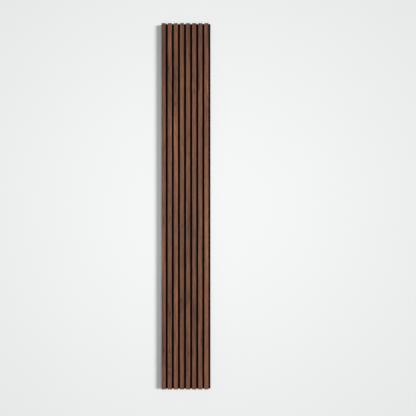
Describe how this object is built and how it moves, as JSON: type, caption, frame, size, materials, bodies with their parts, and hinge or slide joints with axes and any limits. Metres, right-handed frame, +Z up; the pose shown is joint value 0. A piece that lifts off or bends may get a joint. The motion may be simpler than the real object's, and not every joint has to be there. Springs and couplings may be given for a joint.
{
  "type": "acoustic slat wall panel",
  "caption": "Narrow wall panel of upright walnut-faced slats with dark channels between them, glued and stapled to a sheet of black sound-absorbing felt.",
  "frame": {"origin": "middle of the felt's back face, which lies against the wall", "axes": "+Z up along the slats, +Y into the wall, -Y towards the room, +X to the right of someone facing the slats"},
  "size_m": [0.32, 0.021, 2.4],
  "materials": {
    "walnut_veneer": "matt, lightly oiled",
    "black_board": "matt, through-dyed fibreboard",
    "black_felt": "needled felt",
    "staple_wire": "zinc coated"
  },
  "bodies": {
    "root": {"felt_backing": "black_felt", "slat_core_1": "black_board", "slat_core_2": "black_board", "slat_core_3": "black_board", "slat_core_4": "black_board", "slat_core_5": "black_board", "slat_core_6": "black_board", "slat_core_7": "black_board", "slat_core_8": "black_board", "face_veneer_1": "walnut_veneer", "face_veneer_2": "walnut_veneer", "face_veneer_3": "walnut_veneer", "face_veneer_4": "walnut_veneer", "face_veneer_5": "walnut_veneer", "face_veneer_6": "walnut_veneer", "face_veneer_7": "walnut_veneer", "face_veneer_8": "walnut_veneer", "staples": "staple_wire"}
  },
  "joints": []
}
